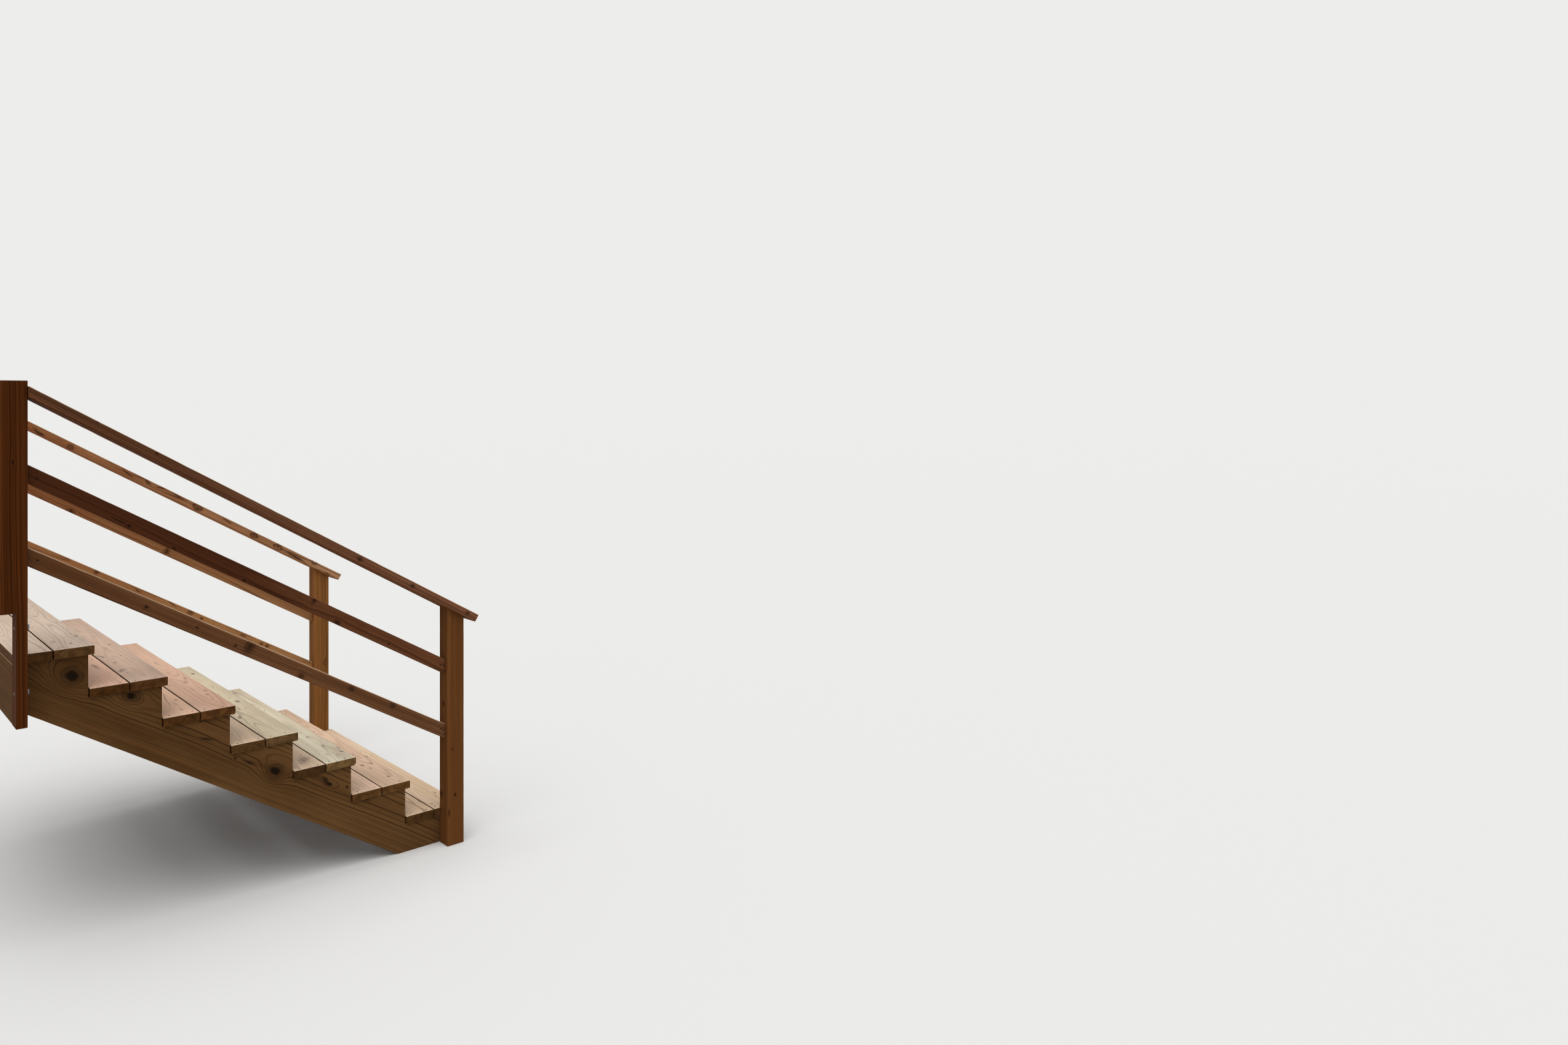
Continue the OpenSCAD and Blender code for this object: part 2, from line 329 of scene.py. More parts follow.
def placed_knots(graph, place, look, size):
    """Knots at the places that the look lists, as the way they part and swell the rings, and their masks."""
    part, bend, masks = (0.0, 0.0, 0.0), 0.0, (0.0, 0.0, 0.0)
    shallow = near_edge(graph, place, size)
    for along, aside, radius, branch, heart in look["knots"]:
        centre = (along, 0, aside) if branch == "y" else (along, aside, 0)
        knot = graph.use(KNOT, {"Place": place, "Centre": centre, "Keep": BRANCH[branch], "Radius": radius,
                                "Heart": heart, "Swerve": look["swerve"]})
        seen = shallow if branch == "y" else 1.0
        part = graph.vector("ADD", part, graph.scaled(knot["Part"], seen))
        bend = graph.line(knot["Bend"], seen, bend)
        masks = [graph.most(mask, graph.product(knot[output], seen))
                 for mask, output in zip(masks, ("Dark", "Inside", "Halo"))]
    return part, bend, *masks


def stains(graph, place, look, size):
    """Dark patches of bark and resin at the places that the look lists, across the axis named with each."""
    turned = graph.parts(place)
    turned = graph.node("ShaderNodeCombineXYZ", {"X": turned["X"], "Y": turned["Z"]}).outputs[0]
    mask = 0.0
    for along, aside, length, width, turn, axis in look["stains"]:
        spot = graph.use(SPOT, {"Place": place if axis == "z" else turned, "Centre": (along, aside, 0),
                                "Size": (length, width, 1.0), "Turn": math.radians(turn)})
        seen = near_edge(graph, place, size) if axis == "y" else 1.0
        mask = graph.most(mask, graph.product(spot["Mask"], seen))
    return mask


def smudges(graph, place, shift, look):
    """Grey marks on a bleached top: a few at listed places, and others strewn over it."""
    strewn = graph.vector("MULTIPLY", graph.vector("ADD", place, shift), (7.0, 19.0, 0.0))
    distance, chance = graph.cells(strewn, voronoi_dimensions="2D")
    ragged = graph.noise(graph.vector("ADD", place, shift), (28, 80, 80), 3.0)
    ragged = graph.line(ragged, 0.4, graph.math("SUBTRACT", distance, 0.2))
    reach = graph.line(chance[1], 0.20, 0.07)
    mask = graph.step(ragged, graph.product(reach, 0.1), reach, 1.0, 0.0)
    mask = graph.product(mask, graph.math("LESS_THAN", chance[0], look["smudge"]),
                         graph.line(chance[2], 0.6, 0.2))
    for along, aside, length, width, turn in look["spots"]:
        spot = graph.use(SPOT, {"Place": place, "Centre": (along, aside, 0), "Size": (length, width, 1.0),
                                "Turn": math.radians(turn)})
        mask = graph.most(mask, spot["Mask"])
    return mask


def worn_and_highlit_edges(graph, place, size, streak, rise):
    """Share of wear along the edges between the four long faces, mostly on the edges that look up, where its
    pale colour is also a painted highlight.
    """
    corner = graph.parts(graph.vector("ABSOLUTE", place))
    near_y = graph.step(corner["Y"], size[1] / 2 - 0.004, size[1] / 2 - 0.001)
    near_z = graph.step(corner["Z"], size[2] / 2 - 0.004, size[2] / 2 - 0.001)
    patchy = graph.step(streak, 0.3, 0.6, 0.35, 0.9)
    return graph.product(near_y, near_z, patchy, graph.step(rise, -0.25, 0.3))


def new_material(name):
    """Material with its graph, and the inputs of its shader."""
    material = bpy.data.materials.new(name)
    material.use_nodes = True
    return material, Graph(material.node_tree), material.node_tree.nodes["Principled BSDF"].inputs


def lumber(name, look, size, grain):
    """Material of one board: its rings, knots, stain, wear and weathering.

    look holds its colours and the way it was sawn, size its length, width and thickness, and grain the
    direction of its fibres.
    """
    material, graph, shader = new_material(name)
    place = graph.node("ShaderNodeAttribute", attribute_name=BOARD_PLACE).outputs["Vector"]
    normal = graph.node("ShaderNodeNewGeometry").outputs["True Normal"]
    rise = graph.parts(normal)["Z"]
    shift = Vector(look["shift"])
    part, bend, dark, inside, halo = placed_knots(graph, place, look, size)
    wood = graph.use(LUMBER, {"Place": place, "Shift": shift, "Pith": Vector((0, *look["pith"])),
                              "Drift": Vector((0, *look["drift"])), "Ring Width": look["ring"],
                              "Wander": look["wander"], "Part": part, "Bend": bend, "Line": look["line"],
                              "Knots": look["pin_knots"]})
    streak, fibre, blotch = (wood[output] for output in ("Streak", "Fibre", "Blotch"))
    late = graph.product(wood["Late"], graph.math("SUBTRACT", 1.0, inside))

    # Where the surface looks up, and where the saw cut across the fibres
    up = graph.line(graph.math("SUBTRACT", blotch, 0.5), 0.25, rise)
    # Up-facing faces take the pale top colours: sun-bleached wood, and also painted light from above; the
    # other faces keep darker colours, as stain and as painted shade
    bleached_and_lit = graph.step(up, 0.25, 0.8)
    sawn = graph.math("ABSOLUTE", graph.vector("DOT_PRODUCT", normal, grain, output="Value"))
    sawn = graph.step(sawn, 0.6, 0.8)

    # Colours: the sides, stained and darker also as painted shade, which change from one end to the other,
    # the top, bleached and painted lighter as if lit from above, and the sawn ends, dark partly as painted
    # shade
    lengthwise = graph.line(graph.parts(place)["X"], look["lengthwise"] / size[0], look["middle"])
    blend = graph.math("ADD", lengthwise, graph.product(graph.math("SUBTRACT", blotch, 0.5), 1.5))
    side = graph.mix(blend, look["side"], look["side_2"])
    side = graph.mix(graph.product(late, look["side_line"]), side, look["side_late"])
    side = graph.mix(graph.product(halo, 0.28), side, look["side_late"])
    # Undersides multiplied darker and warmer by the look's under colour: painted shade and painted warm
    # bounce light
    side = graph.mix(graph.step(rise, -0.7, -0.3, 1.0, 0.0), side, look["under"], "MULTIPLY")
    top = graph.mix(graph.step(blotch, 0.35, 0.65), look["top"], look["top_2"])
    top = graph.mix(graph.product(late, look["top_line"]), top, look["top_late"])
    colour = graph.mix(bleached_and_lit, side, top)
    end = graph.mix(graph.product(late, 0.95), look["end"], look["end_late"])
    patchy = graph.noise(graph.vector("ADD", place, shift), (10, 38, 38), 3.0)
    patchy = graph.step(patchy, 0.3, 0.7, 1.30, 0.72)
    end = graph.mix(1.0, end, graph.grey(patchy), "MULTIPLY")
    colour = graph.mix(graph.product(sawn, graph.step(bleached_and_lit, 0.0, 1.0, 1.0, 0.5)), colour, end)

    # Lighter and darker years, streaks, fibres and flecks
    shade = 1.0
    for pattern, strength in ((wood["Years"], look["years"]), (streak, look["streak"]), (fibre, 0.4)):
        shade = graph.line(graph.math("SUBTRACT", pattern, 0.5), strength, shade)
    shade = graph.line(wood["Fleck"], -0.07, shade)
    colour = graph.mix(1.0, colour, graph.grey(shade), "MULTIPLY")

    # Knots, stains, smudges, and worn edges whose pale colour is also a painted highlight
    knot = graph.mix(bleached_and_lit, look["knot"], look["top_knot"])
    colour = graph.mix(graph.product(dark, 0.96), colour, knot)
    pin = graph.product(wood["Knot"], graph.line(bleached_and_lit, -0.35, 0.85))
    colour = graph.mix(pin, colour, knot)
    if look["stains"]:
        colour = graph.mix(graph.product(stains(graph, place, look, size), 0.75), colour, knot)
    marks = graph.product(smudges(graph, place, shift, look), bleached_and_lit, look["smudge_depth"])
    colour = graph.mix(marks, colour, look["grey"])
    # Pale edges that look up: worn stain, and also a painted highlight
    worn = graph.product(worn_and_highlit_edges(graph, place, size, streak, rise), look["wear"])
    colour = graph.mix(worn, colour, look["worn"])

    # Relief: raised late wood, open fibres and knots
    height = graph.line(late, 0.55, graph.product(fibre, 0.9))
    height = graph.line(graph.most(dark, wood["Knot"]), 0.5, height)
    bump = graph.node("ShaderNodeBump", {"Height": height, "Strength": 0.6, "Distance": look["relief"]})
    rough = graph.line(fibre, 0.16, graph.line(late, -0.08, 0.70))
    graph.fill(shader, {"Base Color": colour, "Roughness": rough, "Normal": bump.outputs["Normal"],
                        "Specular IOR Level": 0.03})
    return material


def crevice():
    """Dirty wood inside screw holes and cracks, kept dark also as painted shade in these recesses."""
    material, graph, shader = new_material("crevice")
    dirt_and_shade = graph.noise(graph.node("ShaderNodeTexCoord").outputs["Object"], (300, 300, 300), 3.0)
    graph.fill(shader, {"Base Color": graph.mix(dirt_and_shade, tone(32, 22, 15), tone(50, 36, 26)), "Roughness": 0.9})
    return material


def steel(name, colour, stain, roughness, metallic, gloss):
    """Steel of fasteners: spangle, dull patches and a trace of rust."""
    material, graph, shader = new_material(name)
    place = graph.node("ShaderNodeTexCoord").outputs["Object"]
    spangle = graph.cells(place, 240.0)[1][0]
    dull = graph.noise(place, (70, 70, 70), 4.0, 0.6)
    base = graph.mix(1.0, colour, graph.grey(graph.line(spangle, 0.22, 0.86)), "MULTIPLY")
    base = graph.mix(graph.step(dull, 0.52, 0.68, 0.0, 0.85), base, stain)
    bump = graph.node("ShaderNodeBump", {"Height": dull, "Strength": 0.4, "Distance": 0.0003})
    graph.fill(shader, {"Base Color": base, "Roughness": graph.line(dull, 0.35, roughness),
                        "Metallic": metallic, "Specular IOR Level": gloss, "Normal": bump.outputs["Normal"]})
    return material


CREVICE = crevice()


def axes_of(node, along, across):
    """Place and size of a board: the matrix from its own axes to the frame, and its extent along each."""
    turn = Matrix((along, across, along.cross(across)))
    corners = [turn @ vertex.co for vertex in nodes[node].data.vertices]
    low = Vector([min(c[axis] for c in corners) for axis in range(3)])
    high = Vector([max(c[axis] for c in corners) for axis in range(3)])
    matrix = turn.transposed().to_4x4()
    matrix.translation = turn.transposed() @ ((low + high) / 2)
    return matrix, high - low


def take_off_corners(mesh):
    """Small chamfer on the sharp corners that a saw leaves."""
    mesh.normal_update()
    sharp = [edge for edge in mesh.edges if edge.is_convex and edge.calc_face_angle(0.0) > SAWN_CORNER]
    bmesh.ops.bevel(mesh, geom=sharp, offset=ARRIS, offset_type="OFFSET", segments=1, profile=0.5,
                    affect="EDGES", clamp_overlap=True)


def cut_fine(mesh, size, steps):
    """Cuts a board's faces by planes across its three axes, so that its surface can be worn."""
    for axis in range(3):
        normal = Vector([1.0 if other == axis else 0.0 for other in range(3)])
        count = max(1, round(size[axis] / steps[axis]))
        for step in range(1, count):
            bmesh.ops.bisect_plane(mesh, geom=mesh.verts[:] + mesh.edges[:] + mesh.faces[:], dist=1e-6,
                                   plane_co=normal * size[axis] * (step / count - 0.5), plane_no=normal)


def wear(mesh, size, look):
    """Lets the surface in: a slight hollow across the face, gentle waves, and dents along the edges."""
    half = size / 2
    seed = look["shift"][0]
    mesh.normal_update()
    moves = []
    for vertex in mesh.verts:
        place = vertex.co
        depth = look["waves"] * (0.5 + 0.5 * noise.noise((place.x * 1.7 + seed, place.y * 9, place.z * 9)))
        if abs(place.z) > half.z - 0.0005:
            depth += look["cup"] * (1 - (place.y / half.y) ** 2) * (1 if place.z > 0 else 0)
        edge_y = max(0.0, abs(place.y) - half.y + WORN_BAND) / WORN_BAND
        edge_z = max(0.0, abs(place.z) - half.z + WORN_BAND) / WORN_BAND
        if edge_y > 0.2 and edge_z > 0.2:
            dent = noise.noise((place.x * 14 + seed, place.y * 3, place.z * 3 + seed))
            depth += look["dents"] * max(0.0, dent - 0.15)
        moves.append(vertex.normal * -depth)
    for vertex, move in zip(mesh.verts, moves):
        vertex.co += move


def add_cone(mesh, place, low_radius, high_radius, low, high, sides=SCREW_SIDES):
    """Closed cone or cylinder along the Z axis of a place, between two heights over it."""
    turns = [math.tau * k / sides for k in range(sides)]
    rings = [[mesh.verts.new(place @ Vector((radius * math.cos(turn), radius * math.sin(turn), height)))
              for turn in turns] for radius, height in ((low_radius, low), (high_radius, high))]
    mesh.faces.new(list(reversed(rings[0])))
    mesh.faces.new(rings[1])
    for k in range(sides):
        after = (k + 1) % sides
        mesh.faces.new((rings[0][k], rings[0][after], rings[1][after], rings[1][k]))


def add_crack(mesh, points, width, depth, level):
    """Closed wedge along a line on the face at the given level, narrowing to both of its ends."""
    sections = []
    last = len(points) - 1
    out = 1 if level > 0 else -1
    for k, (x, y) in enumerate(points):
        before, after = points[max(k - 1, 0)], points[min(k + 1, last)]
        along = Vector((after[0] - before[0], after[1] - before[1], 0)).normalized()
        swell = math.sin(math.pi * (k + 0.5) / (last + 1))
        aside = Vector((-along.y, along.x, 0)) * width / 2 * max(0.15, swell ** 0.7)
        centre = Vector((x, y, level))
        lift = Vector((0, 0, out * PROUD))
        deep = Vector((0, 0, out * depth * max(0.3, swell)))
        sections.append([mesh.verts.new(centre - aside + lift), mesh.verts.new(centre - deep),
                         mesh.verts.new(centre + aside + lift)])
    for one, two in zip(sections, sections[1:]):
        for k in range(3):
            mesh.faces.new((one[k], one[(k + 1) % 3], two[(k + 1) % 3], two[k]))
    mesh.faces.new(list(reversed(sections[0])))
    mesh.faces.new(sections[-1])


def add_chip(mesh, corner, reach):
    """Closed wedge over a corner of the board, cut off square to the line through it."""
    inward = [-1 if value > 0 else 1 for value in corner]
    tip = Vector(corner) - Vector(inward) * PROUD
    verts = [mesh.verts.new(tip)]
    for axis in range(3):
        end = tip.copy()
        end[axis] += inward[axis] * (reach[axis] + PROUD)
        verts.append(mesh.verts.new(end))
    for trio in ((0, 1, 2), (0, 2, 3), (0, 3, 1), (1, 3, 2)):
        mesh.faces.new([verts[k] for k in trio])


def to_object(mesh, name, material, matrix=Matrix()):
    """Object made of a bmesh that is moved by the matrix, and then freed."""
    bmesh.ops.transform(mesh, matrix=matrix, verts=mesh.verts)
    bmesh.ops.recalc_face_normals(mesh, faces=mesh.faces)
    data = bpy.data.meshes.new(name)
    mesh.to_mesh(data)
    mesh.free()
    data.materials.append(material)
    made = bpy.data.objects.new(name, data)
    bpy.context.scene.collection.objects.link(made)
    return made


def keep_within(board, low, high):
    """Moves no vertex past the CAD node's own box."""
    for vertex in board.data.vertices:
        vertex.co = [min(max(value, least), most) for value, least, most in zip(vertex.co, low, high)]


def note_places(board, matrix):
    """Writes each vertex's place in the board's own axes to its attribute."""
    data = board.data
    inverse = matrix.inverted()
    places = [number for vertex in data.vertices for number in inverse @ vertex.co]
    data.attributes.new(BOARD_PLACE, "FLOAT_VECTOR", "POINT").data.foreach_set("vector", places)


def carve(board, cutter):
    """Takes the cutter's solids out of the board, whose new faces get the cutter's material."""
    change = board.modifiers.new("carve", "BOOLEAN")
    change.object, change.operation, change.solver = cutter, "DIFFERENCE", "MANIFOLD"
    change.material_mode = "TRANSFER"
    bpy.context.view_layer.update()
    carved = bpy.data.meshes.new_from_object(board.evaluated_get(bpy.context.evaluated_depsgraph_get()))
    board.modifiers.clear()
    plain, board.data = board.data, carved
    bpy.data.meshes.remove(plain)
    bpy.data.objects.remove(cutter)


def drop_slivers(board):
    """Takes out the faces and edges of no size that carving leaves."""
    mesh = bmesh.new()
    mesh.from_mesh(board.data)
    bmesh.ops.dissolve_degenerate(mesh, dist=NO_EDGE, edges=mesh.edges)
    mesh.to_mesh(board.data)
    mesh.free()


def smooth_faces(piece):
    """Smooth shading, apart from sharp corners."""
    piece.data.shade_smooth()
    piece.data.set_sharp_from_angle(angle=SHARP_EDGE)


def screw_place(x, y, level):
    """Place of a screw's hole in a board's own axes, on the face at the given level, with Z out of it."""
    turn = Matrix() if level > 0 else Matrix.Rotation(math.pi, 4, "X")
    return Matrix.Translation((x, y, level)) @ turn


def dress(node, along, across, look, holes=()):
    """Finished board in place of a CAD node: fine mesh, worn surface, holes, cracks and its own wood.

    The holes are for screws, and come back as their places in the frame.
    """
    matrix, size = axes_of(node, along, across)
    mesh = bmesh.new()
    mesh.from_mesh(nodes[node].data)
    bmesh.ops.transform(mesh, matrix=matrix.inverted(), verts=mesh.verts)
    bmesh.ops.remove_doubles(mesh, verts=mesh.verts, dist=SAME_PLACE)
    bmesh.ops.dissolve_limit(mesh, angle_limit=FLAT, verts=mesh.verts, edges=mesh.edges)
    take_off_corners(mesh)
    cut_fine(mesh, size, (ALONG, ACROSS, ACROSS))
    wear(mesh, size, look)
    board = to_object(mesh, node + "_wood", lumber(node, look, size, along), matrix)
    keep_within(board, *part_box(node))
    cutters = []
    if holes or look["nails"]:
        cutters.append(bmesh.new())
        for place in holes:
            add_cone(cutters[0], place, SCREW_HOLE * 0.7, SCREW_HOLE * 1.05, -HOLE_DEPTH, PROUD)
        for x, y, radius in look["nails"]:
            place = screw_place(x, y, size.z / 2)
            add_cone(cutters[0], place, radius * 0.8, radius, -NAIL_DEPTH, PROUD, NAIL_SIDES)
    for points, width, depth, side in look["cracks"]:
        cutters.append(bmesh.new())
        add_crack(cutters[-1], points, width, depth, side * size.z / 2)
    for reach, signs in look["chips"]:
        cutters.append(bmesh.new())
        add_chip(cutters[-1], [sign * extent / 2 for sign, extent in zip(signs, size)], reach)
    for cutter in cutters:
        carve(board, to_object(cutter, "cutter", CREVICE, matrix))
    drop_slivers(board)
    note_places(board, matrix)
    smooth_faces(board)
    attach(board, "root")
    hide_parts(node)
    return [matrix @ place for place in holes]


def screw_heads(name, places, material, rng):
    """Countersunk screw heads with a square recess, each sunk under the face at its place."""
    mesh = bmesh.new()
    recess = SCREW_HEAD * 0.42
    turns = [math.tau * (k + 0.5) / SCREW_SIDES for k in range(SCREW_SIDES)]
    squares = [recess / max(abs(math.cos(turn)), abs(math.sin(turn))) for turn in turns]
    levels = [([SCREW_HEAD * 0.6] * SCREW_SIDES, -0.0022), ([SCREW_HEAD] * SCREW_SIDES, -0.0004),
              ([SCREW_HEAD * 0.93] * SCREW_SIDES, 0.0), (squares, 0.0), (squares, -0.0016)]
    for place in places:
        turned = Matrix.Rotation(rng.uniform(0, math.tau), 4, "Z")
        place = place @ Matrix.Translation((0, 0, -SCREW_SINK)) @ turned
        rings = [[mesh.verts.new(place @ Vector((reach * math.cos(turn), reach * math.sin(turn), height)))
                  for reach, turn in zip(reaches, turns)] for reaches, height in levels]
        for one, two in zip(rings, rings[1:]):
            for k in range(SCREW_SIDES):
                after = (k + 1) % SCREW_SIDES
                mesh.faces.new((one[k], one[after], two[after], two[k]))
        mesh.faces.new(rings[-1])
        mesh.faces.new(list(reversed(rings[0])))
    piece = to_object(mesh, name, material)
    smooth_faces(piece)
    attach(piece, "root")


# Colours in a board's look
COLOURS = ("top", "top_2", "top_late", "side", "side_2", "side_late", "end", "end_late", "knot", "top_knot",
           "grey", "worn")

# Looks of the boards, with their colours as a screen shows them; under multiplies the undersides, as painted
# shade and painted warm bounce light
TREAD_LOOK = dict(
    top_line=0.55, side=(92, 58, 31), side_2=(78, 48, 24), side_late=(42, 24, 11), side_line=0.75,
    under=(0.85, 0.8, 0.68, 1), end=(81, 53, 27), end_late=(22, 12, 5), knot=(34, 18, 9),
    top_knot=(98, 76, 64), grey=(104, 92, 88), smudge=0.22, smudge_depth=0.58, worn=(220, 198, 172),
    wear=0.5, streak=0.25, years=0.3, lengthwise=0.0, middle=0.5, relief=0.0006, line=0.35, wander=0.03,
    swerve=0.9, pin_knots=0.22, cup=0.0006, waves=0.0003, dents=0.0013, knots=[], stains=[], spots=[],
    cracks=[], chips=[], nails=[])

RAIL_LOOK = dict(
    TREAD_LOOK, top=(200, 180, 156), top_2=(210, 190, 166), top_late=(140, 114, 92),
    side=(94, 58, 34), side_2=(104, 68, 42), side_late=(34, 16, 8), side_line=0.6,
    under=(0.88, 0.66, 0.34, 1), end=(92, 58, 32), end_late=(34, 18, 8), knot=(20, 9, 5),
    worn=(180, 142, 108), wear=0.45, ring=0.0036, dents=0.0012, cup=0.0003, smudge=0.1, pith=(-0.03, -0.05),
    drift=(0.0, 0.002), years=0.5, streak=0.5, wander=0.014, swerve=0.35, pin_knots=0.04)

POST_LOOK = dict(
    RAIL_LOOK, side=(98, 56, 24), side_2=(90, 52, 22), side_late=(44, 21, 7), side_line=0.45,
    ring=0.0042, pith=(0.06, 0.07), drift=(0.002, 0.003), wander=0.008, wear=0.12, streak=0.8, pin_knots=0.06)

STRINGER_LOOK = dict(
    TREAD_LOOK, side=(92, 60, 27), side_2=(78, 50, 22), side_late=(24, 12, 5), side_line=0.85,
    top=(120, 88, 56), top_2=(132, 98, 64), top_late=(72, 48, 28), knot=(22, 13, 8),
    pith=(0.05, -0.075), drift=(0.01, 0.0), ring=0.008, line=0.62, wander=0.024, wear=0.2, smudge=0.0,
    years=0.4, streak=0.6, swerve=1.0, cup=0.0, dents=0.0008, pin_knots=0.06)

# Boards of the treads, counted from the top of the flight: two colours of the top, its grain lines and
# how strong they are, the width of a year's ring, and the sawn ends. The back boards' tops are mostly
# lighter, and their ends darker, than the front boards': painted light and painted shade over the wood's own
# tone
TREADS = {
    "tread_1_back": ((214, 193, 174), (201, 180, 161), (124, 106, 92), 0.42, 0.005, (78, 50, 24)),
    "tread_1_front": ((208, 188, 170), (196, 175, 157), (122, 102, 84), 0.55, 0.005, (85, 58, 32)),
    "tread_2_back": ((225, 184, 157), (214, 176, 153), (156, 122, 102), 0.16, 0.0038, (71, 43, 17)),
    "tread_2_front": ((206, 177, 156), (195, 170, 152), (156, 122, 102), 0.32, 0.0036, (84, 53, 26)),
    "tread_3_back": ((224, 185, 157), (215, 182, 156), (156, 114, 90), 0.18, 0.0036, (79, 49, 21)),
    "tread_3_front": ((217, 176, 151), (207, 173, 150), (156, 114, 90), 0.45, 0.0038, (90, 57, 28)),
    "tread_4_back": ((213, 186, 158), (200, 178, 154), (136, 110, 88), 0.22, 0.0044, (83, 57, 29)),
    "tread_4_front": ((212, 198, 170), (201, 185, 157), (128, 116, 96), 0.55, 0.0046, (94, 69, 40)),
    "tread_5_back": ((222, 197, 169), (194, 169, 144), (120, 98, 82), 0.5, 0.0042, (68, 45, 22)),
    "tread_5_front": ((214, 204, 179), (202, 185, 161), (126, 110, 94), 0.48, 0.0054, (112, 85, 50)),
    "tread_6_back": ((225, 192, 167), (216, 186, 161), (138, 108, 88), 0.55, 0.004, (94, 63, 32)),
    "tread_6_front": ((217, 185, 158), (208, 179, 152), (138, 108, 88), 0.55, 0.004, (97, 66, 34)),
    "tread_7_back": ((219, 190, 161), (211, 182, 150), (134, 106, 84), 0.55, 0.0042, (84, 56, 28)),
    "tread_7_front": ((219, 191, 162), (211, 183, 152), (134, 106, 84), 0.5, 0.004, (92, 62, 33))}

